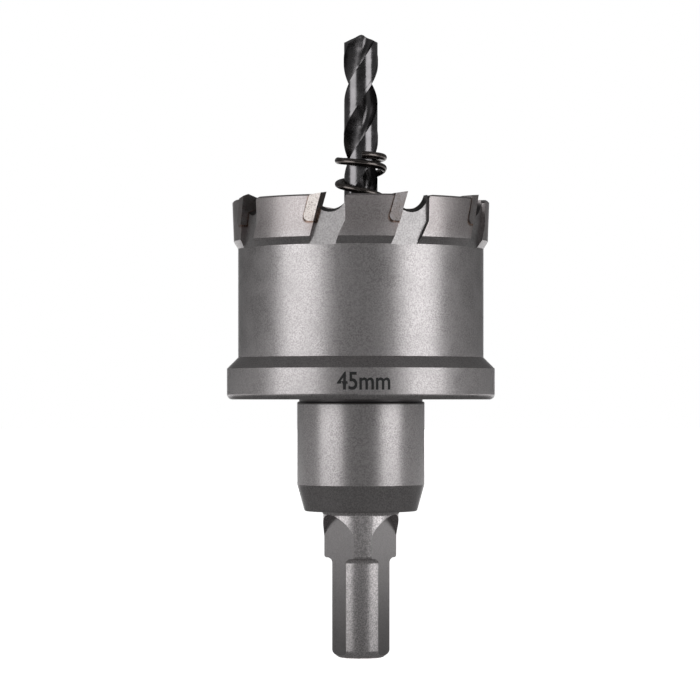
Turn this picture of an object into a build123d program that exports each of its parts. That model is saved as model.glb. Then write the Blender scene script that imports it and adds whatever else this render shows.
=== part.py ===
from build123d import *
import os
from math import asin, cos, degrees, pi, radians, sin, sqrt, tan

# A carbide-tipped hole saw with its pilot drill, ejector spring and three-flat shank.
# Millimetres and degrees. The origin is the middle of the shank's free end and +Z runs
# up the axis to the drill's point. -Y is the front. A place round the axis is given by
# its angle from the front, growing to the right, which is the way the saw cuts.

os.makedirs("parts", exist_ok=True)

# Shank: a plain end for the chuck, a thicker collar, and three flats along both
SHANK_DIAMETER = 10.0
SHANK_LENGTH = 17.45
SHANK_END_CHAMFER = 1.4
SHANK_END_CHAMFER_LENGTH = 1.0
SHANK_END_RADIUS = 1.0
SHANK_ROOT_RADIUS = 0.8
COLLAR_DIAMETER = 13.15
COLLAR_LENGTH = 8.15
COLLAR_EDGE_RADIUS = 0.45
COLLAR_TOP_RADIUS = 0.7
FLAT_COUNT = 3
FLAT_TO_AXIS = 4.5
FLAT_TURN = 3.0
FLAT_CUTTER_DIAMETER = 9.8
FLAT_END_TO_HUB = 0.55

# Hub, its seat under the cup and the spigot that screws into the cup
HUB_DIAMETER = 22.2
HUB_LENGTH = 19.05
HUB_CONE_LENGTH = 4.6
HUB_CONE_INSET = 1.3
HUB_EDGE_RADIUS = 0.4
HUB_TOP_RADIUS = 0.3
SEAT_DIAMETER = 21.5
SEAT_HEIGHT = 0.35
SPIGOT_DIAMETER = 16.0
SPIGOT_THREAD_CLEARANCE = 0.1
SPIGOT_STAND = 0.5
SPIGOT_CHAMFER = 0.6

# Cup: base, stop flange, wall and the thicker band that carries the teeth
CUTTING_DIAMETER = 45.0
TIP_STAND_OUT = 0.14
CUP_HEIGHT = 34.41
BASE_THICKNESS = 6.0
BASE_CORNER_CHAMFER = 0.8
WALL_THICKNESS = 1.4
BAND_STEP = 0.755
BAND_TAPER = 0.25
BAND_HEIGHT = 7.01
BAND_CHAMFER_HEIGHT = 1.28
RIM_CHAMFER = 0.28
FLANGE_OVERHANG = 0.81
FLANGE_HEIGHT = 5.35
FLANGE_EDGE_RADIUS = 0.95

# Teeth: the rake edges' places on one half of the rim, and again on the other half
TOOTH_ANGLES = (-63.0, -17.0, 20.8, 63.7)
RAKE_LEAN = 16.3
RAKE_EDGE_RISE = 0.7
# How far each tip's top stands over the rim at its outer corner, its peak and its inner end
TIP_TOPS = ((0.42, 0.74, 0.05), (0.22, 0.3, 0.52), (0.46, 0.48, 0.45), (0.58, 0.58, 0.5))
TIP_PEAK_INSET = 0.9
TIP_WIDTH = 2.0
TIP_DEPTH = 4.5
TIP_DEPTH_RADIUS = 0.85
TIP_STAND_IN = 0.45
TIP_TOP_RELIEF = 9.0
TIP_SIDE_RELIEF = 5.0
TIP_SIDE_TAPER = 0.2
BRAZE = 0.15

# Gullets: a slot through the wall, and a chip flute down the outside of the band
GULLET_WIDTH = 3.95
GULLET_DEPTH = 2.41
GULLET_FLOOR_RADIUS = 2.5
GULLET_FLOOR_SLOPE = 26.0
GULLET_CORNER_RADIUS = 0.8
FLUTE_BELOW_BAND = 0.05
FLUTE_UNDERCUT = 0.2
FLUTE_KNEE_DEPTH = 4.4
FLUTE_FOOT_INSET = 1.9
FLUTE_FOOT_SAG = 0.15

# Pilot drill: it starts in the arbor, below the cup's seat, and ends past the rim
DRILL_DIAMETER = 6.0
DRILL_BELOW_SEAT = 16.8
DRILL_PROJECTION = 29.12
DRILL_END_CHAMFER = 0.4
DRILL_CLEARANCE = 0.03
DRILL_FLAT_DEPTH = 0.5
DRILL_FLAT_LENGTH = 9.0
DRILL_FLUTE_LENGTH = 34.0
DRILL_FLUTE_LEAD = 26.7
DRILL_FLUTE_OPENING = 92.0
DRILL_FLUTE_FACING = 24.5
DRILL_WEB = 1.2
DRILL_MARGIN = 0.55
DRILL_BODY_CLEARANCE = 0.08
DRILL_RUN_OUT_RADIUS = 8.0
DRILL_CORE_MARGIN = 0.1
POINT_ANGLE = 124.0
LIP_RELIEF = 12.0

# Set screw that holds the drill, in the back of the hub
SCREW_DIAMETER = 6.0
SCREW_BELOW_SEAT = 7.6
SCREW_SINK = 0.6
SCREW_CLEARANCE = 0.05
SCREW_SOCKET_ACROSS = 3.0
SCREW_SOCKET_DEPTH = 3.5
SCREW_CHAMFER = 0.5

# Ejector spring: left-handed wire, close-coiled at both ends
WIRE_DIAMETER = 1.0
SPRING_DIAMETER = 9.05
SPRING_PROJECTION = 8.55
SPRING_PITCH = 5.5
SPRING_EASING_PITCH = 2.7
SPRING_EASING_TURNS = 0.5
SPRING_CLOSED_PITCH = 1.06
SPRING_CLOSED_TURNS = 0.75
SPRING_END_FACING = 2.0
SPRING_CLEARANCE = 0.03

# How far a cutter runs past what it cuts
OVERCUT = 1.0

# Heights from the shank's end
HUB_Z = SHANK_LENGTH + COLLAR_LENGTH
SEAT_Z = HUB_Z + HUB_LENGTH + SEAT_HEIGHT
SPIGOT_Z = SEAT_Z + BASE_THICKNESS + SPIGOT_STAND
RIM_Z = SEAT_Z + CUP_HEIGHT
DRILL_TIP_Z = RIM_Z + DRILL_PROJECTION
DRILL_END_Z = SEAT_Z - DRILL_BELOW_SEAT
SCREW_Z = SEAT_Z - SCREW_BELOW_SEAT
SPRING_FOOT_Z = SPIGOT_Z + SPRING_CLEARANCE
SPRING_TOP_Z = RIM_Z + SPRING_PROJECTION

# Radii
CUTTING_RADIUS = CUTTING_DIAMETER / 2
BAND_RADIUS = CUTTING_RADIUS - TIP_STAND_OUT
BAND_FOOT_RADIUS = BAND_RADIUS - BAND_TAPER
WALL_RADIUS = BAND_FOOT_RADIUS - BAND_STEP
INNER_RADIUS = WALL_RADIUS - WALL_THICKNESS
FLANGE_RADIUS = CUTTING_RADIUS + FLANGE_OVERHANG
FLUTE_FLOOR_TO_AXIS = WALL_RADIUS - FLUTE_UNDERCUT
DRILL_RADIUS = DRILL_DIAMETER / 2
COIL_RADIUS = (SPRING_DIAMETER - WIRE_DIAMETER) / 2

# The face of a tooth's sector: x to the right, y up from the rim, z out from the axis.
# Teeth are drawn here, at the front, and then turned to their places.
FRONT = Plane(origin=(0, 0, RIM_Z), x_dir=(1, 0, 0), z_dir=(0, -1, 0))


def outline(corners, base=Plane.XY):
    """A face from (x, y, corner radius) points on a plane."""
    points = [(x, y) for x, y, _ in corners]
    radii = [radius for _, _, radius in corners]
    return base * make_face(FilletPolyline(*points, radius=radii, close=True))


def turned(corners):
    """A solid turned about Z from (radius, height, corner radius) points."""
    return revolve(outline(corners, Plane.XZ), Axis.Z)


def rod(radius, bottom, top):
    """A plain round bar on the axis."""
    return Pos(0, 0, bottom) * extrude(Circle(radius), top - bottom)


def rake_x(height):
    """How far right of the tooth's middle plane the leaning rake edge is, above the rim."""
    return (height - RAKE_EDGE_RISE) * tan(radians(RAKE_LEAN))


def make_arbor():
    shank_radius = SHANK_DIAMETER / 2
    collar_radius = COLLAR_DIAMETER / 2
    hub_radius = HUB_DIAMETER / 2
    spigot_radius = SPIGOT_DIAMETER / 2
    hub_top = HUB_Z + HUB_LENGTH
    body = turned([
        (0, 0, 0),
        (shank_radius - SHANK_END_CHAMFER, 0, SHANK_END_RADIUS),
        (shank_radius, SHANK_END_CHAMFER_LENGTH, SHANK_END_RADIUS),
        (shank_radius, SHANK_LENGTH, SHANK_ROOT_RADIUS),
        (collar_radius, SHANK_LENGTH, COLLAR_EDGE_RADIUS),
        (collar_radius, HUB_Z, COLLAR_TOP_RADIUS),
        (hub_radius - HUB_CONE_INSET, HUB_Z, HUB_EDGE_RADIUS),
        (hub_radius, HUB_Z + HUB_CONE_LENGTH, 0),
        (hub_radius, hub_top, HUB_TOP_RADIUS),
        (SEAT_DIAMETER / 2, hub_top, 0),
        (SEAT_DIAMETER / 2, SEAT_Z, 0),
        (spigot_radius, SEAT_Z, 0),
        (spigot_radius, SPIGOT_Z - SPIGOT_CHAMFER, 0),
        (spigot_radius - SPIGOT_CHAMFER, SPIGOT_Z, 0),
        (0, SPIGOT_Z, 0),
    ])
    drill_bore = rod(DRILL_RADIUS + DRILL_CLEARANCE, DRILL_END_Z, SPIGOT_Z + OVERCUT)
    screw_hole = Pos(0, 0, SCREW_Z) * Rot(-90, 0, 0) * extrude(
        Circle(SCREW_DIAMETER / 2 + SCREW_CLEARANCE), HUB_DIAMETER
    )
    return body - make_flat_cutters() - drill_bore - screw_hole


def make_flat_cutters():
    """End-mill passes that leave the shank's flats, each with a round upper end."""
    cutter_radius = FLAT_CUTTER_DIAMETER / 2
    last_centre = HUB_Z - FLAT_END_TO_HUB - cutter_radius
    run_in = FLAT_CUTTER_DIAMETER
    slot = Pos(0, (last_centre - run_in) / 2) * Rectangle(FLAT_CUTTER_DIAMETER, last_centre + run_in)
    slot += Pos(0, last_centre) * Circle(cutter_radius)
    front_pass = extrude(
        Plane(origin=(0, -FLAT_TO_AXIS, 0), x_dir=(1, 0, 0), z_dir=(0, -1, 0)) * slot,
        COLLAR_DIAMETER,
    )
    step = 360 / FLAT_COUNT
    return [Rot(0, 0, FLAT_TURN + step * (index + 0.5)) * front_pass for index in range(FLAT_COUNT)]


def make_set_screw():
    """Starts on the drill's flat and ends a little below the hub's surface."""
    start = DRILL_RADIUS - DRILL_FLAT_DEPTH
    length = HUB_DIAMETER / 2 - SCREW_SINK - start
    radius = SCREW_DIAMETER / 2
    screw = turned([
        (0, 0, 0),
        (radius - SCREW_CHAMFER, 0, 0),
        (radius, SCREW_CHAMFER, 0),
        (radius, length - SCREW_CHAMFER / 2, 0),
        (radius - SCREW_CHAMFER / 2, length, 0),
        (0, length, 0),
    ])
    socket = RegularPolygon(SCREW_SOCKET_ACROSS / 2, 6, major_radius=False)
    screw -= Pos(0, 0, length - SCREW_SOCKET_DEPTH) * extrude(socket, SCREW_SOCKET_DEPTH)
    return Pos(0, start, SCREW_Z) * Rot(-90, 0, 0) * screw


def make_cup_blank():
    """The cup as it leaves the lathe, with its tapped hole but no teeth."""
    band_foot = RIM_Z - BAND_HEIGHT
    bevel = FLANGE_RADIUS - WALL_RADIUS
    hole_radius = SPIGOT_DIAMETER / 2 + SPIGOT_THREAD_CLEARANCE
    base_top = SEAT_Z + BASE_THICKNESS
    return turned([
        (hole_radius, SEAT_Z, 0),
        (FLANGE_RADIUS, SEAT_Z, FLANGE_EDGE_RADIUS),
        (FLANGE_RADIUS, SEAT_Z + FLANGE_HEIGHT, 0),
        (WALL_RADIUS, SEAT_Z + FLANGE_HEIGHT + bevel, 0),
        (WALL_RADIUS, band_foot - BAND_CHAMFER_HEIGHT, 0),
        (BAND_FOOT_RADIUS, band_foot, 0),
        (BAND_RADIUS, RIM_Z - RIM_CHAMFER, 0),
        (BAND_RADIUS - RIM_CHAMFER, RIM_Z, 0),
        (INNER_RADIUS, RIM_Z, 0),
        (INNER_RADIUS, base_top + BASE_CORNER_CHAMFER, 0),
        (INNER_RADIUS - BASE_CORNER_CHAMFER, base_top, 0),
        (hole_radius, base_top, 0),
    ])


def make_gullet():
    """What is milled away in front of one tooth, as a list of cutters."""
    above = RAKE_EDGE_RISE + OVERCUT
    beyond = FLANGE_RADIUS + OVERCUT
    foot = -(BAND_HEIGHT + BAND_CHAMFER_HEIGHT + FLUTE_BELOW_BAND)
    foot_left = rake_x(foot)
    foot_right = GULLET_WIDTH - FLUTE_FOOT_INSET
    flute_edges = Polyline(
        (foot_left, foot),
        (rake_x(above), above),
        (GULLET_WIDTH, above),
        (GULLET_WIDTH, -FLUTE_KNEE_DEPTH),
        (foot_right, foot),
    )
    flute_foot = ThreePointArc(
        (foot_right, foot), ((foot_left + foot_right) / 2, foot - FLUTE_FOOT_SAG), (foot_left, foot)
    )
    flute_face = Pos(0, -FLUTE_FLOOR_TO_AXIS, 0) * (FRONT * make_face([flute_edges, flute_foot]))
    flute = extrude(flute_face, beyond - FLUTE_FLOOR_TO_AXIS)

    # The slot's floor is an arc, and it falls towards the outside of the wall.
    start = INNER_RADIUS - OVERCUT
    fall = tan(radians(GULLET_FLOOR_SLOPE))
    slot_left = rake_x(-GULLET_DEPTH) - TIP_WIDTH / 2
    half_width = (GULLET_WIDTH - slot_left) / 2
    middle = (GULLET_WIDTH + slot_left) / 2
    floor_radius = max(GULLET_FLOOR_RADIUS, half_width)
    sag = floor_radius - sqrt(floor_radius**2 - half_width**2)
    walls = Polyline(
        (slot_left, sag - GULLET_DEPTH),
        (slot_left, above),
        (GULLET_WIDTH, above),
        (GULLET_WIDTH, sag - GULLET_DEPTH),
    )
    floor = ThreePointArc(
        (GULLET_WIDTH, sag - GULLET_DEPTH), (middle, -GULLET_DEPTH), (slot_left, sag - GULLET_DEPTH)
    )
    face = Pos(0, -start, fall) * (FRONT * make_face([walls, floor]))
    slot = extrude(face, (beyond - start) / cos(radians(GULLET_FLOOR_SLOPE)), dir=(0, -1, -fall))

    # The next segment's top corner is rounded.
    radius = GULLET_CORNER_RADIUS
    corner = outline([
        (GULLET_WIDTH, -radius, 0),
        (GULLET_WIDTH, above, 0),
        (GULLET_WIDTH + radius, above, 0),
        (GULLET_WIDTH + radius, 0, 0),
    ], FRONT) - FRONT * Pos(GULLET_WIDTH + radius, -radius) * Circle(radius)
    return [flute, slot, extrude(corner, beyond)]


def tip_outline():
    """The tip seen from outside: a leaning bar with one lower corner rounded."""
    above = RAKE_EDGE_RISE + OVERCUT
    return outline([
        (rake_x(-TIP_DEPTH), -TIP_DEPTH, 0),
        (rake_x(above), above, 0),
        (rake_x(above) - TIP_WIDTH, above, 0),
        (rake_x(-TIP_DEPTH) - TIP_WIDTH, -TIP_DEPTH, TIP_DEPTH_RADIUS),
    ])


def make_tip(corner_rise, peak_rise, inner_rise):
    """One tip at the front. The inside face is flat, and the rest falls away from the rake."""
    bar = Pos(0, -(INNER_RADIUS - TIP_STAND_IN), 0) * extrude(FRONT * tip_outline(), INNER_RADIUS)
    foot = -2 * TIP_DEPTH
    edges = Polyline(
        (0, inner_rise),
        (INNER_RADIUS - TIP_STAND_IN, inner_rise),
        (CUTTING_RADIUS - TIP_PEAK_INSET, peak_rise),
        (CUTTING_RADIUS, corner_rise),
        (CUTTING_RADIUS + foot * tan(radians(TIP_SIDE_TAPER)), foot),
        (0, foot),
        close=True,
    )
    # The outline of the rake face, from one width right of it to well behind the tip.
    side = Plane(origin=(0, 0, RIM_Z), x_dir=(0, -1, 0), z_dir=(-1, 0, 0))
    back = Vector(-1, tan(radians(TIP_SIDE_RELIEF)), -tan(radians(TIP_TOP_RELIEF)))
    start = -TIP_WIDTH * back
    sweep_back = extrude(
        Pos(start.X, start.Y, start.Z) * (side * make_face(edges)),
        4 * TIP_WIDTH * back.length,
        dir=back,
    )
    return bar & sweep_back


def make_braze(blank, tip):
    """The braze round one tip: what its pocket holds besides the tip."""
    return (blank & make_pocket()) - tip


def make_pocket():
    return extrude(FRONT * offset(tip_outline(), BRAZE, kind=Kind.INTERSECTION), FLANGE_RADIUS)


def tooth_turns():
    return [angle + half for half in (0, 180) for angle in TOOTH_ANGLES]


def make_teeth(blank, gullet):
    """Each tip with the braze round it, in order round the rim."""
    gulleted = blank - gullet
    tips = [make_tip(*rises) for rises in TIP_TOPS]
    brazes = [make_braze(gulleted, tip) for tip in tips]
    turns = tooth_turns()
    return [(Rot(0, 0, turn) * tip, Rot(0, 0, turn) * braze)
            for turn, tip, braze in zip(turns, 2 * tips, 2 * brazes)]


def polar(radius, angle):
    """A point on a plane, by radius and by angle from the x axis."""
    return Vector(radius * cos(radians(angle)), radius * sin(radians(angle)))


def drill_section():
    """The fluted body across the axis, with one flute's opening centred on +X."""
    half_opening = DRILL_FLUTE_OPENING / 2
    lip, root, _ = lip_and_root()
    relieved = DRILL_RADIUS - DRILL_BODY_CLEARANCE
    margin_angle = degrees(DRILL_MARGIN / DRILL_RADIUS)
    next_lip = 180 - half_opening
    heel = polar(relieved, half_opening)
    edges = []
    for turn in (0, 180):
        half = [
            Line(lip, root),
            TangentArc(root, heel, tangent=root - lip),
            CenterArc((0, 0), relieved, half_opening, next_lip - margin_angle - half_opening),
            Line(polar(relieved, next_lip - margin_angle), polar(DRILL_RADIUS, next_lip - margin_angle)),
            CenterArc((0, 0), DRILL_RADIUS, next_lip - margin_angle, margin_angle),
        ]
        edges += [Rot(0, 0, turn) * edge for edge in half]
    return make_face(edges)


def lip_and_root():
    """Where the flute's straight face starts at the lip's corner and where it meets the web."""
    half_opening = DRILL_FLUTE_OPENING / 2
    web_radius = DRILL_WEB / 2
    root_angle = 90 - half_opening - degrees(asin(web_radius / DRILL_RADIUS))
    return polar(DRILL_RADIUS, -half_opening), polar(web_radius, root_angle), root_angle


def make_drill():
    fluted_from = DRILL_TIP_Z - DRILL_FLUTE_LENGTH
    core_radius = DRILL_WEB / 2 - DRILL_CORE_MARGIN
    rise = DRILL_RADIUS - core_radius
    foot = fluted_from - sqrt(DRILL_RUN_OUT_RADIUS**2 - (DRILL_RUN_OUT_RADIUS - rise) ** 2)
    top = DRILL_TIP_Z + DRILL_RADIUS
    # The opening that faces the front right at the point is lower down by the lead.
    facing = DRILL_FLUTE_FACING - 90 - 360 * (DRILL_TIP_Z - foot) / DRILL_FLUTE_LEAD
    section = Pos(0, 0, foot) * Rot(0, 0, facing) * drill_section()
    fluted = Solid.extrude_linear_with_rotation(
        section.face(), (0, 0, foot), (0, 0, top - foot), 360 * (top - foot) / DRILL_FLUTE_LEAD
    )
    # Plain shank, and above it the core that the flutes run out over.
    shank = Polyline(
        (core_radius, fluted_from),
        (0, fluted_from),
        (0, DRILL_END_Z),
        (DRILL_RADIUS - DRILL_END_CHAMFER, DRILL_END_Z),
        (DRILL_RADIUS, DRILL_END_Z + DRILL_END_CHAMFER),
        (DRILL_RADIUS, foot),
    )
    run_out = TangentArc((core_radius, fluted_from), (DRILL_RADIUS, foot), tangent=(0, -1))
    plain = revolve(Plane.XZ * make_face([shank, run_out]), Axis.Z)
    flat = Pos(0, DRILL_RADIUS - DRILL_FLAT_DEPTH / 2, SCREW_Z) * Box(
        DRILL_DIAMETER, DRILL_FLAT_DEPTH, DRILL_FLAT_LENGTH
    )
    return (plain - flat) + fluted - make_point_waste()


def make_point_waste():
    """What grinding the point takes off: two relief planes meet at the chisel edge, in a cone."""
    lip, root, _ = lip_and_root()
    lip_line = (lip - root).normalized()
    fall = 1 / tan(radians(POINT_ANGLE / 2))
    relief = tan(radians(LIP_RELIEF))
    web_radius = DRILL_WEB / 2
    peak = DRILL_TIP_Z + relief * web_radius
    lip_corner = peak - fall * sqrt(DRILL_RADIUS**2 - web_radius**2)
    apex = lip_corner + fall * DRILL_RADIUS
    low = DRILL_TIP_Z - DRILL_DIAMETER
    wide = DRILL_DIAMETER
    ground = turned([(0, low, 0), (wide, low, 0), (wide, apex - fall * wide, 0), (0, apex, 0)])
    for turn in (0, 180):
        outwards = lip_line.rotate(Axis.Z, DRILL_FLUTE_FACING - 90 + turn)
        behind = outwards.rotate(Axis.Z, -90)
        on_the_lip = behind * -web_radius + Vector(0, 0, peak)
        facet = Plane(origin=on_the_lip, z_dir=outwards * fall + behind * relief + Vector(0, 0, 1))
        ground = split(ground, bisect_by=facet, keep=Keep.BOTTOM)
    return rod(wide, low, DRILL_TIP_Z + DRILL_DIAMETER) - ground


def spring_turns():
    """Turns and pitch of each stretch of the coil, from the base up."""
    height = SPRING_TOP_Z - SPRING_FOOT_Z - WIRE_DIAMETER
    end = [(SPRING_CLOSED_TURNS, SPRING_CLOSED_PITCH), (SPRING_EASING_TURNS, SPRING_EASING_PITCH)]
    end_height = sum(turns * pitch for turns, pitch in end)
    active = [((height - 2 * end_height) / SPRING_PITCH, SPRING_PITCH)]
    return end + active + end[::-1]


def make_spring():
    """A left-handed coil that stands on the spigot, its top end at the front."""
    stretches = spring_turns()
    angle = SPRING_END_FACING - 90 + 360 * sum(turns for turns, _ in stretches)
    height = SPRING_FOOT_Z + WIRE_DIAMETER / 2
    edges = []
    for turns, pitch in stretches:
        helix = Helix(pitch, turns * pitch, COIL_RADIUS, lefthand=True)
        edges.append((Pos(0, 0, height) * Rot(0, 0, angle) * helix).edge())
        height += turns * pitch
        angle -= 360 * turns
    path = Wire(edges)
    # The wire's eight sides hold as much steel as its round section.
    side_count = 8
    corner_radius = WIRE_DIAMETER / 2 * sqrt(2 * pi / (side_count * sin(2 * pi / side_count)))
    section = Plane(path @ 0, z_dir=path % 0) * RegularPolygon(corner_radius, side_count)
    return sweep(section, path=path, is_frenet=True)


arbor = make_arbor()
blank = make_cup_blank()
gullet = make_gullet()
pocket = make_pocket()
cutters = [Rot(0, 0, turn) * cutter for turn in tooth_turns() for cutter in [*gullet, pocket]]
cup = blank - cutters

nodes = {
    "arbor": arbor,
    "saw_cup": cup,
    "set_screw": make_set_screw(),
    "pilot_drill": make_drill(),
    "ejector_spring": make_spring(),
}
for number, (tip, braze) in enumerate(make_teeth(blank, gullet), 1):
    nodes[f"carbide_tip_{number}"] = tip
    nodes[f"braze_layer_{number}"] = braze

for name, node in nodes.items():
    export_step(node, f"parts/{name}.step")
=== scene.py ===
from math import cos, pi, radians, sin, tan

import bmesh
import bpy
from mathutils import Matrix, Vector


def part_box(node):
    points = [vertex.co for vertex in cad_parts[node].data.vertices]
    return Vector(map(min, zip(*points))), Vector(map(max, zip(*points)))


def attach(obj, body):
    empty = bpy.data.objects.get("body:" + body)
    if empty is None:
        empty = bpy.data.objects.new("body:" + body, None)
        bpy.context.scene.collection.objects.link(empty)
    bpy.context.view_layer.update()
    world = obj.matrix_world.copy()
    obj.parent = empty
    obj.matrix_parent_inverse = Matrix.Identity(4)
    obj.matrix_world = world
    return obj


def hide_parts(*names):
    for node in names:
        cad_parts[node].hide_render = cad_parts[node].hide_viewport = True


# A carbide-tipped hole saw on a pale floor, in a small photographer's tent.
# Metres and degrees. The frame's origin is the middle of the shank's end, +Z runs up the
# axis to the drill's point, and -Y is the front. A place round the axis is given by its
# angle from the front, growing to the right.

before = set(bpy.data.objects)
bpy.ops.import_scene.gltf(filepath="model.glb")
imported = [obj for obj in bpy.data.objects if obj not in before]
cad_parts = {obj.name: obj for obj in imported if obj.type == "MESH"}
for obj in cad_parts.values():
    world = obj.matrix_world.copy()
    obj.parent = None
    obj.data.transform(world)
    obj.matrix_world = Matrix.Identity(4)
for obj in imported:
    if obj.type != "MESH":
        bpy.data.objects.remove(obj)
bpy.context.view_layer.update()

MM = 0.001

# Camera: level with the flange's underside, 523 mm in front of the axis
PICTURE_SIDE = 700
CAMERA_DISTANCE = 0.523
CAMERA_HEIGHT = 0.045
PIXELS_PER_MM = 5.74
AXIS_PIXEL_X = 360.85
CAMERA_LEVEL_PIXEL_Y = 399.5
SENSOR_WIDTH = 36.0
NEAREST_SEEN = 0.01
FURTHEST_SEEN = 20.0

# Light tent: bright softboxes, a grey wall round the rest of the front, a white gap behind
SOFTBOXES = {
    "softbox_left": {"facing": -56.0, "spread": 50.0, "strength": 2.35},
    "softbox_right": {"facing": 55.0, "spread": 44.0, "strength": 2.65},
}
SOFTBOX_DISTANCE = 0.42
SOFTBOX_LOW = 0.0
SOFTBOX_HIGH = 0.30
SOFTBOX_FADE = 0.24
TENT_RADIUS = 1.00
TENT_HEIGHT = 0.95
TENT_OPENING = 30.0
TENT_DARKEST_Y = -0.90
TENT_FRONT_STRENGTH = 0.09
TENT_SIDE_STRENGTH = 0.14
TENT_ROOF_STRENGTH = 0.19
ROOF_RADIUS = 1.4
BACK_FLAG_STRENGTH = 0.10
BACK_FLAG_FOOT = 0.20
# Grey card on the floor that only reflections see: a painted dark reflection in the saw's
# downward faces, where the floor itself is white
CARD_LIFT = 0.0002
CARD_STRENGTH = 0.155
CARD_FRONT_RADIUS = 0.36
CARD_BACK_RADIUS = 0.23
CARD_TAPER = 4
FLOOR_RADIUS = 4.0
FLOOR_BELOW = 0.02 * MM
FLOOR_COLOUR = (0.82, 0.82, 0.82)
FLOOR_LIFT = 0.95
BACKDROP_WHITE = (1.0, 1.0, 1.0, 1.0)


def round_the_front(radius, angle):
    """The x and y of a place given by its distance from the axis and its angle."""
    return radius * sin(radians(angle)), -radius * cos(radians(angle))


# Helpers for materials

def new_material(name):
    """A new material, its node tree and its shader."""
    material = bpy.data.materials.new(name)
    material.use_nodes = True
    tree = material.node_tree
    shader = next(node for node in tree.nodes if node.type == "BSDF_PRINCIPLED")
    return material, tree, shader


def blank_material(name):
    """A new material and its node tree, with no nodes."""
    material = bpy.data.materials.new(name)
    material.use_nodes = True
    material.node_tree.nodes.clear()
    return material, material.node_tree


def add(tree, kind, **inputs):
    """A node with its sockets set by name."""
    node = tree.nodes.new(kind)
    for key, value in inputs.items():
        node.inputs[key.replace("_", " ")].default_value = value
    return node


def math_node(tree, operation, *values):
    """The output of a math node on sockets or numbers."""
    node = tree.nodes.new("ShaderNodeMath")
    node.operation = operation
    for socket, value in zip(node.inputs, values):
        if isinstance(value, (int, float)):
            socket.default_value = value
        else:
            tree.links.new(value, socket)
    return node.outputs[0]


def extreme(tree, operation, values):
    """The MINIMUM or MAXIMUM of several values."""
    result = values[0]
    for value in values[1:]:
        result = math_node(tree, operation, result, value)
    return result


def hypotenuse(tree, first, second):
    squares = [math_node(tree, "MULTIPLY", side, side) for side in (first, second)]
    return math_node(tree, "SQRT", math_node(tree, "ADD", *squares))


def spread_over(tree, value, limits, to=(0.0, 1.0)):
    """Maps a value smoothly from one range to another, clamped."""
    node = tree.nodes.new("ShaderNodeMapRange")
    node.interpolation_type = "SMOOTHSTEP"
    tree.links.new(value, node.inputs["Value"])
    node.inputs["From Min"].default_value = limits[0]
    node.inputs["From Max"].default_value = limits[1]
    node.inputs["To Min"].default_value = to[0]
    node.inputs["To Max"].default_value = to[1]
    return node.outputs["Result"]


def between(tree, value, low, high):
    """1 where a value lies between two limits, otherwise 0."""
    above = math_node(tree, "GREATER_THAN", value, low)
    below = math_node(tree, "LESS_THAN", value, high)
    return math_node(tree, "MULTIPLY", above, below)


def mix_colour(tree, factor, first, second):
    """Mixes two colours, each a socket or a tuple."""
    node = tree.nodes.new("ShaderNodeMix")
    node.data_type = "RGBA"
    sockets = [s for s in node.inputs if s.type == "RGBA"]
    for socket, value in zip(sockets, (first, second)):
        if isinstance(value, tuple):
            socket.default_value = (*value, 1.0)
        else:
            tree.links.new(value, socket)
    tree.links.new(factor, node.inputs["Factor"])
    return next(s for s in node.outputs if s.type == "RGBA")


def scaled_colour(colour, factor):
    return tuple(factor * part for part in colour)


def noise(tree, where, scale, detail, roughness):
    node = add(tree, "ShaderNodeTexNoise", Scale=scale, Detail=detail, Roughness=roughness)
    tree.links.new(where, node.inputs["Vector"])
    return node.outputs["Fac"]


def axes(tree, vector):
    """The x, y and z of a vector."""
    parts = tree.nodes.new("ShaderNodeSeparateXYZ")
    tree.links.new(vector, parts.inputs["Vector"])
    return parts.outputs


def object_place(tree):
    return tree.nodes.new("ShaderNodeTexCoord").outputs["Object"]


def round_the_axis(tree, place):
    """Distance from the axis, degrees from the front growing to the right, and height."""
    x, y, z = axes(tree, place)
    turn = math_node(tree, "ARCTAN2", x, math_node(tree, "MULTIPLY", y, -1.0))
    return hypotenuse(tree, x, y), math_node(tree, "DEGREES", turn), z


def bump(tree, height, strength, distance, shader):
    node = add(tree, "ShaderNodeBump", Strength=strength, Distance=distance)
    tree.links.new(height, node.inputs["Height"])
    tree.links.new(node.outputs["Normal"], shader.inputs["Normal"])


# Noises, and the limits between which one counts as all of one thing or all of another

GRAIN = {"scale": 4200.0, "detail": 3.0, "roughness": 0.65}
MOTTLE = {"scale": 260.0, "detail": 3.0, "roughness": 0.55}
SCUFF = {"scale": 3400.0, "detail": 4.0, "roughness": 0.7}
CARBIDE_SPECKS = {"scale": 5200.0, "detail": 2.0, "roughness": 0.6}
CARBIDE_WARMTH = {"scale": 900.0, "detail": 2.0, "roughness": 0.5}
BRAZE_PATCHES = {"scale": 1400.0, "detail": 3.0, "roughness": 0.6}
INK_WEAR = {"scale": 4200.0, "detail": 2.0, "roughness": 0.6}
SHARPEST = (0.36, 0.64)
SHARP = (0.38, 0.62)
SOFT = (0.35, 0.65)
SOFTEST = (0.3, 0.7)


# Blasted steel

STEEL = (0.475, 0.453, 0.456)
STEEL_DARK = (0.285, 0.270, 0.272)
STEEL_ROUGHNESS = 0.35
ROUGHNESS_DRIFT = 0.03
MOTTLE_FADE = 0.9
MOTTLE_MOST = 0.35
GRAIN_RELIEF = 0.4
GRAIN_DEPTH = 0.02 * MM
# Near black, the painted shade in the cup's slots and in the gap under the cup
PAINTED_SHADE_BLACK = (0.085, 0.080, 0.080)


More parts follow.
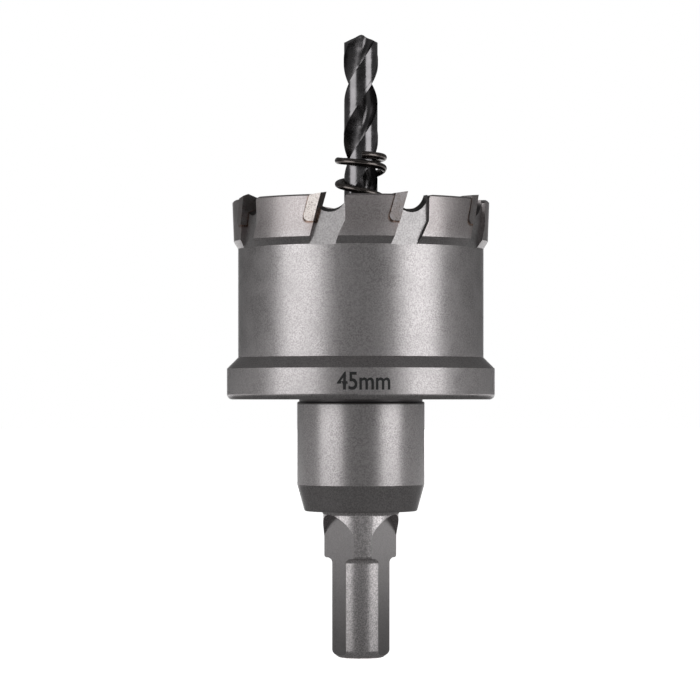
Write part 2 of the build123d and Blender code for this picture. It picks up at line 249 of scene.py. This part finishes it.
def blasted_steel(name, colour, darker, roughness):
    """Fine-blasted steel: sparkling grain, faint mottling and a soft sheen."""
    material, tree, shader = new_material(name)
    place = object_place(tree)
    grain = noise(tree, place, **GRAIN)
    mottle = noise(tree, place, **MOTTLE)
    toned = mix_colour(tree, spread_over(tree, grain, SHARPEST), darker, colour)
    mottled = spread_over(tree, mottle, SOFT, (0.0, MOTTLE_MOST))
    toned = mix_colour(tree, mottled, toned, scaled_colour(colour, MOTTLE_FADE))
    tree.links.new(toned, shader.inputs["Base Color"])
    drift = spread_over(tree, mottle, SOFTEST, (-ROUGHNESS_DRIFT, ROUGHNESS_DRIFT))
    tree.links.new(math_node(tree, "ADD", drift, roughness), shader.inputs["Roughness"])
    shader.inputs["Metallic"].default_value = 1.0
    bump(tree, grain, GRAIN_RELIEF, GRAIN_DEPTH, shader)
    return material, tree, shader, place, grain, toned


FLAT_DEPTH_SLACK = 0.03 * MM


def on_plane(tree, radius, away, distance):
    """1 on a flat at a distance from the axis, from the degrees to the way that it faces."""
    turn = math_node(tree, "RADIANS", away)
    forward = math_node(tree, "MULTIPLY", radius, math_node(tree, "COSINE", turn))
    return between(tree, forward, distance - FLAT_DEPTH_SLACK, distance + FLAT_DEPTH_SLACK)


# Cup. The angles are the rake edges on one half of the rim, and again on the other half.

TOOTH_ANGLES = (-63.0, -17.0, 20.8, 63.7)
QUARTER_TURN = 90.0
RIM_Z = 79.41 * MM
BAND_FOOT_Z = 71.12 * MM

# Heat tint on the band: strongest beside a tip, fading in above the band's foot
HEAT_TINT = (0.275, 0.228, 0.220)
TINT_AT_TIP = 0.75
TINT_BETWEEN = 0.28
TINT_SPAN = 6.5
TIP_MIDDLE = -3.0
TINT_FADES_IN = 3.0 * MM

# Bare chip flutes in front of the teeth
MILLED = (0.42, 0.405, 0.407)
MILLED_DARK = (0.30, 0.289, 0.290)
FLUTE_FLOOR_TO_AXIS = 21.155 * MM
FLUTE_REACH = 13.0
FLUTE_BELOW_BAND = 0.2 * MM

# Braze that ran out over the steel behind and below each tip
RAKE_LEAN = 16.3
TIP_WIDTH = 2.0 * MM
TIP_DEPTH = 4.5 * MM
TIP_DEPTH_RADIUS = 0.85 * MM
BRAZE_SPILL = 0.52 * MM
BRAZE_SPILL_FULL = 0.2 * MM
SPILL_ROUND_RAKE = 0.3 * MM
SPILLED_BRAZE = (0.24, 0.178, 0.152)
BRAZE = (0.25, 0.165, 0.13)
BRAZE_BURNT = (0.07, 0.050, 0.042)

# Painted shade on the slots' floors: the surfaces that face upwards a little below the rim are
# painted near black
UPWARD = (0.15, 0.5)
SLOT_FLOOR_LOW = RIM_Z - 3.5 * MM
SLOT_FLOOR_HIGH = RIM_Z - 0.4 * MM


def away_from_teeth(tree, angle, offset):
    """Degrees to the nearest rake edge, or to a place at an offset from it."""
    distances = []
    for tooth in TOOTH_ANGLES:
        from_tooth = math_node(tree, "SUBTRACT", angle, tooth + offset)
        distances.append(math_node(tree, "PINGPONG", from_tooth, QUARTER_TURN))
    return extreme(tree, "MINIMUM", distances)


def on_chip_flutes(tree, radius, angle, z):
    """1 on the flutes' flat floors, otherwise 0."""
    away = away_from_teeth(tree, angle, 0.0)
    on_floor = on_plane(tree, radius, away, FLUTE_FLOOR_TO_AXIS)
    near_tooth = math_node(tree, "LESS_THAN", away, FLUTE_REACH)
    on_flute = math_node(tree, "MULTIPLY", on_floor, near_tooth)
    on_band = between(tree, z, BAND_FOOT_Z - FLUTE_BELOW_BAND, RIM_Z)
    return math_node(tree, "MULTIPLY", on_flute, on_band)


def braze_spill(tree, radius, angle, z):
    """1 just behind and below each tip, fading to 0 further out."""
    below = math_node(tree, "SUBTRACT", RIM_Z, z)
    leaning = math_node(tree, "MULTIPLY", below, tan(radians(RAKE_LEAN)))
    under = math_node(tree, "ADD", below, TIP_DEPTH_RADIUS - TIP_DEPTH)
    under = math_node(tree, "MAXIMUM", under, 0.0)
    spills = []
    for tooth in TOOTH_ANGLES:
        turn = math_node(tree, "SUBTRACT", angle, tooth)
        turn = math_node(tree, "WRAP", turn, QUARTER_TURN, -QUARTER_TURN)
        sine = math_node(tree, "SINE", math_node(tree, "RADIANS", turn))
        across = math_node(tree, "MULTIPLY", radius, sine)
        from_rake = math_node(tree, "ADD", across, leaning)
        back = math_node(tree, "SUBTRACT", -TIP_WIDTH, from_rake)
        back = math_node(tree, "MULTIPLY", back, cos(radians(RAKE_LEAN)))
        back = math_node(tree, "MAXIMUM", math_node(tree, "ADD", back, TIP_DEPTH_RADIUS), 0.0)
        away = math_node(tree, "SUBTRACT", hypotenuse(tree, back, under), TIP_DEPTH_RADIUS)
        spill = spread_over(tree, away, (BRAZE_SPILL_FULL, BRAZE_SPILL), (1.0, 0.0))
        behind = math_node(tree, "LESS_THAN", from_rake, SPILL_ROUND_RAKE)
        spills.append(math_node(tree, "MULTIPLY", spill, behind))
    return extreme(tree, "MAXIMUM", spills)


def cup_material():
    """Blasted steel: heat tint and spilled braze by the tips, bare flutes, painted shade on the
    slot floors.
    """
    material, tree, shader, place, _, steel = blasted_steel(
        "cup_blasted", STEEL, STEEL_DARK, STEEL_ROUGHNESS
    )
    radius, angle, z = round_the_axis(tree, place)
    on_band = spread_over(tree, z, (BAND_FOOT_Z, BAND_FOOT_Z + TINT_FADES_IN))
    from_tip = away_from_teeth(tree, angle, TIP_MIDDLE)
    heat = spread_over(tree, from_tip, (0.0, TINT_SPAN), (TINT_AT_TIP, TINT_BETWEEN))
    colour = mix_colour(tree, math_node(tree, "MULTIPLY", on_band, heat), steel, HEAT_TINT)

    scuffs = spread_over(tree, noise(tree, place, **SCUFF), SHARP)
    scuffed = mix_colour(tree, scuffs, MILLED_DARK, MILLED)
    colour = mix_colour(tree, on_chip_flutes(tree, radius, angle, z), colour, scuffed)

    patches = spread_over(tree, noise(tree, place, **BRAZE_PATCHES), SOFT)
    copper = mix_colour(tree, patches, SPILLED_BRAZE, BRAZE_BURNT)
    colour = mix_colour(tree, braze_spill(tree, radius, angle, z), colour, copper)

    # Painted shade: faces that look upwards inside the slots are turned near black
    normal = tree.nodes.new("ShaderNodeNewGeometry").outputs["Normal"]
    _, _, facing_up = axes(tree, normal)
    upward = spread_over(tree, facing_up, UPWARD)
    in_slot = between(tree, z, SLOT_FLOOR_LOW, SLOT_FLOOR_HIGH)
    colour = mix_colour(tree, math_node(tree, "MULTIPLY", upward, in_slot), colour, PAINTED_SHADE_BLACK)
    tree.links.new(colour, shader.inputs["Base Color"])
    return material


# Arbor

ARBOR_STEEL = (0.460, 0.438, 0.440)
ARBOR_STEEL_DARK = (0.268, 0.254, 0.256)
ARBOR_ROUGHNESS = 0.31
SHANK_STEEL = (0.74, 0.705, 0.709)
SHANK_STEEL_DARK = (0.42, 0.400, 0.402)
SHANK_ROUGHNESS = 0.30
SHANK_FLAT = (0.43, 0.410, 0.413)
SHANK_FLAT_DARK = (0.345, 0.329, 0.331)
SHANK_FLAT_TO_AXIS = 4.5 * MM
SHANK_FLAT_FACING = 63.0
SHANK_FLAT_STEP = 120.0
HUB_FOOT_Z = 25.6 * MM
ROUGHNESS_FADE = 0.5 * MM
HUB_TOP_Z = 44.15 * MM
SEAT_Z = 45.0 * MM


def arbor_material():
    """Blasted steel: bright shank with greyer milled flats, painted shade in black in the gap
    under the cup.
    """
    material, tree, shader, place, grain, steel = blasted_steel(
        "arbor_blasted", ARBOR_STEEL, ARBOR_STEEL_DARK, ARBOR_ROUGHNESS
    )
    radius, angle, z = round_the_axis(tree, place)
    foot = (HUB_FOOT_Z, HUB_FOOT_Z + ROUGHNESS_FADE)
    roughness = spread_over(tree, z, foot, (SHANK_ROUGHNESS, ARBOR_ROUGHNESS))
    tree.links.new(roughness, shader.inputs["Roughness"])

    sparkle = spread_over(tree, grain, SHARP)
    turned = mix_colour(tree, sparkle, SHANK_STEEL_DARK, SHANK_STEEL)
    milled = mix_colour(tree, sparkle, SHANK_FLAT_DARK, SHANK_FLAT)
    from_flat = math_node(tree, "SUBTRACT", angle, SHANK_FLAT_FACING)
    away = math_node(tree, "PINGPONG", from_flat, SHANK_FLAT_STEP / 2)
    on_flat = on_plane(tree, radius, away, SHANK_FLAT_TO_AXIS)
    shank = mix_colour(tree, on_flat, turned, milled)

    colour = mix_colour(tree, math_node(tree, "LESS_THAN", z, HUB_FOOT_Z), steel, shank)
    # Painted shade: the narrow gap between the hub's top and the cup's seat is turned near black
    colour = mix_colour(tree, between(tree, z, HUB_TOP_Z, SEAT_Z), colour, PAINTED_SHADE_BLACK)
    tree.links.new(colour, shader.inputs["Base Color"])
    return material


# Carbide and braze. A carbide's three colours are fresh, warmer and speck.

# Painted highlight: tips 2 and 6 get a lighter copy of the carbide, for the light they catch
PAINTED_LIT_TIPS = ("carbide_tip_2", "carbide_tip_6")
PAINTED_LIT_CARBIDE = ((0.55, 0.513, 0.492), (0.48, 0.44, 0.418), (0.20, 0.175, 0.163))
DULL_CARBIDE = ((0.33, 0.312, 0.314), (0.29, 0.262, 0.256), (0.15, 0.132, 0.126))
CARBIDE_ROUGHNESS = 0.36
SPECK_LIMITS = (0.52, 0.66)
SPECK_MOST = 0.85
SPECK_RELIEF = 0.15
SPECK_DEPTH = 0.01 * MM
BRAZE_SMOOTH = 0.34
BRAZE_ROUGH = 0.55
BRAZE_RELIEF = 0.2
BRAZE_DEPTH = 0.02 * MM


def carbide_material(name, fresh, warmer, speck):
    """Ground carbide: tighter-grained than the steel, with dark specks."""
    material, tree, shader = new_material(name)
    place = object_place(tree)
    specks = noise(tree, place, **CARBIDE_SPECKS)
    warm = noise(tree, place, **CARBIDE_WARMTH)
    base = mix_colour(tree, spread_over(tree, warm, SOFT), fresh, warmer)
    speckled = spread_over(tree, specks, SPECK_LIMITS, (0.0, SPECK_MOST))
    tree.links.new(mix_colour(tree, speckled, base, speck), shader.inputs["Base Color"])
    shader.inputs["Metallic"].default_value = 1.0
    shader.inputs["Roughness"].default_value = CARBIDE_ROUGHNESS
    bump(tree, specks, SPECK_RELIEF, SPECK_DEPTH, shader)
    return material


def braze_material():
    """Copper-coloured braze, burnt nearly black in places."""
    material, tree, shader = new_material("copper_braze")
    patches = noise(tree, object_place(tree), **BRAZE_PATCHES)
    toned = mix_colour(tree, spread_over(tree, patches, SOFT), BRAZE, BRAZE_BURNT)
    tree.links.new(toned, shader.inputs["Base Color"])
    uneven = spread_over(tree, patches, SOFTEST, (BRAZE_SMOOTH, BRAZE_ROUGH))
    tree.links.new(uneven, shader.inputs["Roughness"])
    shader.inputs["Metallic"].default_value = 1.0
    bump(tree, patches, BRAZE_RELIEF, BRAZE_DEPTH, shader)
    return material


# Black oxide on the drill, the spring and the set screw

DRILL_OXIDE = {"colour": (0.155, 0.150, 0.155), "roughness": 0.20, "scale": 500.0}
SPRING_OXIDE = {"colour": (0.115, 0.102, 0.096), "roughness": 0.24, "scale": 1200.0}
SCREW_OXIDE = {"colour": (0.10, 0.098, 0.10), "roughness": 0.34, "scale": 1800.0}
BLOTCH_DETAIL = 3.0
BLOTCH_ROUGHNESS = 0.6
BLOTCH_LIMITS = (0.35, 0.7)
BLOTCH_LIGHTER = 1.35
BLOTCH_SMOOTHER = 0.04
BLOTCH_ROUGHER = 0.06
BLOTCH_RELIEF = 0.06
BLOTCH_DEPTH = 0.02 * MM
LAND_RADIUS = 3.0 * MM
FLUTE_FINISH_STARTS = 0.12 * MM
FLUTE_FINISH_FULL = 0.25 * MM
FLUTE_BLACK = (0.16, 0.154, 0.158)
FLUTE_DULLER = 0.05


def black_oxide(name, colour, roughness, scale):
    """Oiled black steel: dark and glossy, with faint blotches in its polish."""
    material, tree, shader = new_material(name)
    blotch = noise(tree, object_place(tree), scale, BLOTCH_DETAIL, BLOTCH_ROUGHNESS)
    lighter = scaled_colour(colour, BLOTCH_LIGHTER)
    toned = mix_colour(tree, spread_over(tree, blotch, BLOTCH_LIMITS), colour, lighter)
    tree.links.new(toned, shader.inputs["Base Color"])
    drift = (roughness - BLOTCH_SMOOTHER, roughness + BLOTCH_ROUGHER)
    uneven = spread_over(tree, blotch, SOFTEST, drift)
    tree.links.new(uneven, shader.inputs["Roughness"])
    shader.inputs["Metallic"].default_value = 1.0
    bump(tree, blotch, BLOTCH_RELIEF, BLOTCH_DEPTH, shader)
    return material, tree, shader, toned, uneven


def drill_material():
    """Black oxide, blotched on the lands, plain and a little duller in the flutes."""
    material, tree, shader, toned, uneven = black_oxide("drill_oxide", **DRILL_OXIDE)
    radius, _, _ = round_the_axis(tree, object_place(tree))
    edge = (LAND_RADIUS - FLUTE_FINISH_FULL, LAND_RADIUS - FLUTE_FINISH_STARTS)
    in_flute = spread_over(tree, radius, edge, (1.0, 0.0))
    tree.links.new(mix_colour(tree, in_flute, toned, FLUTE_BLACK), shader.inputs["Base Color"])
    duller = math_node(tree, "MULTIPLY", in_flute, FLUTE_DULLER)
    tree.links.new(math_node(tree, "ADD", uneven, duller), shader.inputs["Roughness"])
    return material


# Marking ink

INK = (0.010, 0.010, 0.011)
THIN_INK = (0.032, 0.031, 0.031)
INK_ROUGHNESS = 0.6
INK_THIN_LIMITS = (0.45, 0.75)
INK_THIN_MOST = 0.5


def ink_material():
    """Black marking ink, thinner in places."""
    material, tree, shader = new_material("marking_ink")
    wear = noise(tree, object_place(tree), **INK_WEAR)
    thin = spread_over(tree, wear, INK_THIN_LIMITS, (0.0, INK_THIN_MOST))
    tree.links.new(mix_colour(tree, thin, INK, THIN_INK), shader.inputs["Base Color"])
    shader.inputs["Roughness"].default_value = INK_ROUGHNESS
    return material


def paint(node, material):
    """Gives a CAD node one material in place of its plain one."""
    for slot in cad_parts[node].material_slots:
        slot.material = material


def paint_nodes():
    paint("saw_cup", cup_material())
    # The lighter carbide on two tips is a painted highlight
    bright = carbide_material("painted_lit_carbide", *PAINTED_LIT_CARBIDE)
    dull = carbide_material("dull_carbide", *DULL_CARBIDE)
    braze = braze_material()
    paint("arbor", arbor_material())
    paint("pilot_drill", drill_material())
    paint("set_screw", black_oxide("screw_oxide", **SCREW_OXIDE)[0])
    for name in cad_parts:
        if name.startswith("carbide_tip"):
            paint(name, bright if name in PAINTED_LIT_TIPS else dull)
        if name.startswith("braze_layer"):
            paint(name, braze)


# Ejector spring: round wire as thick as the photograph's, inside the CAD spring's outline

WIRE_RADIUS = 0.6 * MM
WIRE_SIDES = 20
SPRING_PITCH = 5.5 * MM
SPRING_EASING_PITCH = 2.7 * MM
SPRING_EASING_TURNS = 0.5
SPRING_CLOSED_PITCH = 1.06 * MM
SPRING_CLOSED_TURNS = 0.75
SPRING_END_FACING = 2.0
SPRING_STEPS_PER_TURN = 48
CUT_END_ANGLE = 40.0


def spring_path(foot, top, radius):
    """Points of the coil from its foot up, left-handed, its top end at the front."""
    height = top - foot
    ends = [
        (SPRING_CLOSED_TURNS, SPRING_CLOSED_PITCH),
        (SPRING_EASING_TURNS, SPRING_EASING_PITCH),
    ]
    used = 2 * sum(turns * pitch for turns, pitch in ends)
    stretches = ends + [((height - used) / SPRING_PITCH, SPRING_PITCH)] + ends[::-1]
    total = sum(turns for turns, _ in stretches)
    angle = SPRING_END_FACING + 360 * total
    z = foot
    points = []
    for turns, pitch in stretches:
        steps = max(2, round(turns * SPRING_STEPS_PER_TURN))
        for step in range(steps):
            done = turns * step / steps
            x, y = round_the_front(radius, angle - 360 * done)
            points.append(Vector((x, y, z + pitch * done)))
        angle -= 360 * turns
        z += pitch * turns
    points.append(Vector((*round_the_front(radius, angle), z)))
    return points


def tube(name, points, radius, sides):
    """A closed round tube along points, with flat cut ends."""
    rings = []
    for index, point in enumerate(points):
        before = points[max(index - 1, 0)]
        after = points[min(index + 1, len(points) - 1)]
        along = (after - before).normalized()
        outwards = Vector((point.x, point.y, 0)).normalized()
        across = along.cross(outwards).normalized()
        outwards = across.cross(along)
        turns = [2 * pi * k / sides for k in range(sides)]
        rings.append([
            point + radius * (cos(turn) * outwards + sin(turn) * across) for turn in turns
        ])
    vertices = [v for ring in rings for v in ring]
    faces = []
    for index in range(len(rings) - 1):
        first = index * sides
        for k in range(sides):
            step = (k + 1) % sides
            faces.append((first + k, first + step, first + sides + step, first + sides + k))
    faces.append(tuple(range(sides))[::-1])
    faces.append(tuple(range(len(vertices) - sides, len(vertices))))
    mesh = bpy.data.meshes.new(name)
    mesh.from_pydata(vertices, [], faces)
    mesh.shade_smooth()
    mesh.set_sharp_from_angle(angle=radians(CUT_END_ANGLE))
    piece = bpy.data.objects.new(name, mesh)
    bpy.context.scene.collection.objects.link(piece)
    return piece


def add_spring():
    low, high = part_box("ejector_spring")
    radius = (high.x - low.x + high.y - low.y) / 4 - WIRE_RADIUS
    path = spring_path(low.z + WIRE_RADIUS, high.z - WIRE_RADIUS, radius)
    piece = tube("round_wire_spring", path, WIRE_RADIUS, WIRE_SIDES)
    piece.data.materials.append(black_oxide("spring_oxide", **SPRING_OXIDE)[0])
    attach(piece, "root")
    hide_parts("ejector_spring")


# Size marking on the flange. MARK_BOLDER is in the font's own units, before scaling.

MARK_TEXT = "45mm"
MARK_HEIGHT = 3.05 * MM
MARK_WIDTH = 9.0 * MM
MARK_FOOT_Z = 46.6 * MM
MARK_LIFT = 0.015 * MM
MARK_CENTRE_X = 0.45 * MM
MARK_BOLDER = 0.016
MARK_CURVE_STEPS = 6
SAME_POINT = 1e-5


def embolden(mesh, amount):
    """Moves each point on the outline of flat lettering outwards, mitred at corners."""
    shape = bmesh.new()
    shape.from_mesh(mesh)
    bmesh.ops.remove_doubles(shape, verts=shape.verts, dist=SAME_POINT)
    outwards = {}
    for edge in shape.edges:
        if not edge.is_boundary:
            continue
        loop = edge.link_loops[0]
        along = (loop.link_loop_next.vert.co - loop.vert.co).normalized()
        away = along.cross(loop.face.normal)
        for vertex in edge.verts:
            outwards[vertex] = outwards.get(vertex, Vector()) + away
    for vertex, away in outwards.items():
        vertex.co += 2 * amount * away / max(away.length_squared, 1.0)
    shape.to_mesh(mesh)
    shape.free()


def add_size_mark():
    """The cutting size, printed round the front of the flange."""
    curve = bpy.data.curves.new("size_mark_text", "FONT")
    curve.body = MARK_TEXT
    curve.resolution_u = MARK_CURVE_STEPS
    source = bpy.data.objects.new("size_mark_text", curve)
    bpy.context.scene.collection.objects.link(source)
    bpy.context.view_layer.update()
    mesh = bpy.data.meshes.new_from_object(source)
    bpy.data.objects.remove(source)
    embolden(mesh, MARK_BOLDER)
    left = min(v.co.x for v in mesh.vertices)
    right = max(v.co.x for v in mesh.vertices)
    foot = min(v.co.y for v in mesh.vertices)
    top = max(v.co.y for v in mesh.vertices)
    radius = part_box("saw_cup")[1].x + MARK_LIFT
    for vertex in mesh.vertices:
        from_centre = (vertex.co.x - (left + right) / 2) / (right - left)
        turn = (from_centre * MARK_WIDTH + MARK_CENTRE_X) / radius
        up = (vertex.co.y - foot) / (top - foot) * MARK_HEIGHT
        vertex.co = (radius * sin(turn), -radius * cos(turn), MARK_FOOT_Z + up)
    mesh.name = "size_mark"
    mesh.materials.clear()
    mesh.materials.append(ink_material())
    piece = bpy.data.objects.new("size_mark", mesh)
    bpy.context.scene.collection.objects.link(piece)
    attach(piece, "root")


# Studio

def emitter(name, strength):
    """A plain glowing material, and its glow."""
    material, tree = blank_material(name)
    glow = add(tree, "ShaderNodeEmission", Strength=strength)
    out = tree.nodes.new("ShaderNodeOutputMaterial")
    tree.links.new(glow.outputs["Emission"], out.inputs["Surface"])
    return material, glow


def softbox_front(name, strength):
    """A glow that fades towards the edges of a square panel, 2 by 2 in its own units."""
    material, glow = emitter(name, strength)
    tree = material.node_tree
    x, _, z = axes(tree, object_place(tree))
    fades = []
    for side in (x, z):
        from_middle = math_node(tree, "ABSOLUTE", side)
        fades.append(spread_over(tree, from_middle, (1 - SOFTBOX_FADE, 1.0), (1.0, 0.0)))
    fade = math_node(tree, "MULTIPLY", *fades)
    tree.links.new(math_node(tree, "MULTIPLY", fade, strength), glow.inputs["Strength"])
    return material


def unlit_cloth(name, strength):
    """Plain grey cloth of one tone, not sampled as a lamp."""
    material, _ = emitter(name, strength)
    material.cycles.emission_sampling = "NONE"
    return material


def tent_cloth():
    """Grey cloth that is darkest at the front and paler towards the back."""
    material, glow = emitter("tent_grey", TENT_FRONT_STRENGTH)
    material.cycles.emission_sampling = "NONE"
    tree = material.node_tree
    _, y, _ = axes(tree, object_place(tree))
    tones = (TENT_FRONT_STRENGTH, TENT_SIDE_STRENGTH)
    strength = spread_over(tree, y, (TENT_DARKEST_Y, 0.0), tones)
    tree.links.new(strength, glow.inputs["Strength"])
    return material


def stage_mesh(name, vertices, faces, material):
    mesh = bpy.data.meshes.new(name)
    mesh.from_pydata(vertices, [], faces)
    mesh.materials.append(material)
    piece = bpy.data.objects.new(name, mesh)
    bpy.context.scene.collection.objects.link(piece)
    return piece


def add_softboxes():
    """Tall panels either side of the camera, in unit coordinates scaled to size."""
    for name, panel in SOFTBOXES.items():
        material = softbox_front(name + "_glow", panel["strength"])
        square = [(-1, 0, -1), (1, 0, -1), (1, 0, 1), (-1, 0, 1)]
        piece = stage_mesh(name, square, [(0, 1, 2, 3)], material)
        x, y = round_the_front(SOFTBOX_DISTANCE, panel["facing"])
        half_width = SOFTBOX_DISTANCE * tan(radians(panel["spread"] / 2))
        piece.location = (x, y, (SOFTBOX_LOW + SOFTBOX_HIGH) / 2)
        piece.rotation_euler = (0, 0, radians(panel["facing"]))
        piece.scale = (half_width, 1, (SOFTBOX_HIGH - SOFTBOX_LOW) / 2)
        piece.visible_camera = False


def curved_wall(name, first, last, low, high, material, steps=60):
    """An upright strip of the tent's wall, from one angle to another."""
    vertices = []
    for index in range(steps + 1):
        x, y = round_the_front(TENT_RADIUS, first + (last - first) * index / steps)
        vertices += [(x, y, low), (x, y, high)]
    faces = [(2 * k, 2 * k + 2, 2 * k + 3, 2 * k + 1) for k in range(steps)]
    wall = stage_mesh(name, vertices, faces, material)
    wall.visible_camera = False


def disc(name, height, material, radius_at, steps=96):
    """A flat sheet whose radius may change with the angle from the front."""
    rim = []
    for index in range(steps):
        angle = 360 * index / steps
        rim.append((*round_the_front(radius_at(angle), angle), height))
    return stage_mesh(name, rim, [tuple(range(steps))], material)


def card_radius(angle):
    """The card reaches furthest towards the camera."""
    frontness = cos(radians(angle / 2)) ** CARD_TAPER
    return CARD_BACK_RADIUS + (CARD_FRONT_RADIUS - CARD_BACK_RADIUS) * frontness


def add_tent():
    """A grey wall all round but for a low gap behind, a grey roof, and a grey floor card that
    only reflections see, a painted dark reflection.
    """
    reach = 180 - TENT_OPENING / 2
    curved_wall("tent_wall", -reach, reach, 0, TENT_HEIGHT, tent_cloth())
    flag = unlit_cloth("flag_grey", BACK_FLAG_STRENGTH)
    curved_wall("back_flag", reach, 360 - reach, BACK_FLAG_FOOT, TENT_HEIGHT, flag)
    roof_cloth = unlit_cloth("roof_grey", TENT_ROOF_STRENGTH)
    roof = disc("tent_roof", TENT_HEIGHT, roof_cloth, lambda angle: ROOF_RADIUS)
    roof.visible_camera = False
    # Painted reflection: a dark card that only reflections see, lying on a floor that is white
    # to the eye
    card = disc("reflection_only_card", CARD_LIFT, unlit_cloth("reflection_only_grey", CARD_STRENGTH), card_radius)
    card.visible_camera = False
    card.visible_diffuse = False
    card.visible_shadow = False
    card.visible_transmission = False


def add_floor():
    """Pale floor: white to the eye and in reflections, and it keeps the saw's shadow."""
    material, tree = blank_material("pale_floor")
    matt = add(tree, "ShaderNodeBsdfDiffuse", Color=(*FLOOR_COLOUR, 1.0))
    lift = tree.nodes.new("ShaderNodeEmission")
    rays = tree.nodes.new("ShaderNodeLightPath").outputs
    kinds = [rays[f"Is {kind} Ray"] for kind in ("Camera", "Glossy", "Transmission")]
    seen = extreme(tree, "MAXIMUM", kinds)
    tree.links.new(math_node(tree, "MULTIPLY", seen, FLOOR_LIFT), lift.inputs["Strength"])
    both = tree.nodes.new("ShaderNodeAddShader")
    tree.links.new(matt.outputs["BSDF"], both.inputs[0])
    tree.links.new(lift.outputs["Emission"], both.inputs[1])
    out = tree.nodes.new("ShaderNodeOutputMaterial")
    tree.links.new(both.outputs["Shader"], out.inputs["Surface"])
    disc("floor", -FLOOR_BELOW, material, lambda angle: FLOOR_RADIUS)


def add_world():
    world = bpy.data.worlds.new("white_backdrop")
    bpy.context.scene.world = world
    world.use_nodes = True
    back = next(node for node in world.node_tree.nodes if node.type == "BACKGROUND")
    back.inputs["Color"].default_value = BACKDROP_WHITE
    back.inputs["Strength"].default_value = 1.0


def add_camera():
    lens = bpy.data.cameras.new("camera")
    lens.sensor_width = SENSOR_WIDTH
    half_view = PICTURE_SIDE / 2 / PIXELS_PER_MM * MM / CAMERA_DISTANCE
    lens.lens = SENSOR_WIDTH / 2 / half_view
    lens.shift_x = -(AXIS_PIXEL_X - PICTURE_SIDE / 2) / PICTURE_SIDE
    lens.shift_y = (CAMERA_LEVEL_PIXEL_Y - PICTURE_SIDE / 2) / PICTURE_SIDE
    lens.clip_start = NEAREST_SEEN
    lens.clip_end = FURTHEST_SEEN
    camera = bpy.data.objects.new("camera", lens)
    camera.location = (0, -CAMERA_DISTANCE, CAMERA_HEIGHT)
    camera.rotation_euler = (radians(90), 0, 0)
    bpy.context.scene.collection.objects.link(camera)
    bpy.context.scene.camera = camera


bpy.context.scene.view_settings.view_transform = "Standard"
paint_nodes()
add_spring()
add_size_mark()
add_world()
add_floor()
add_tent()
add_softboxes()
add_camera()
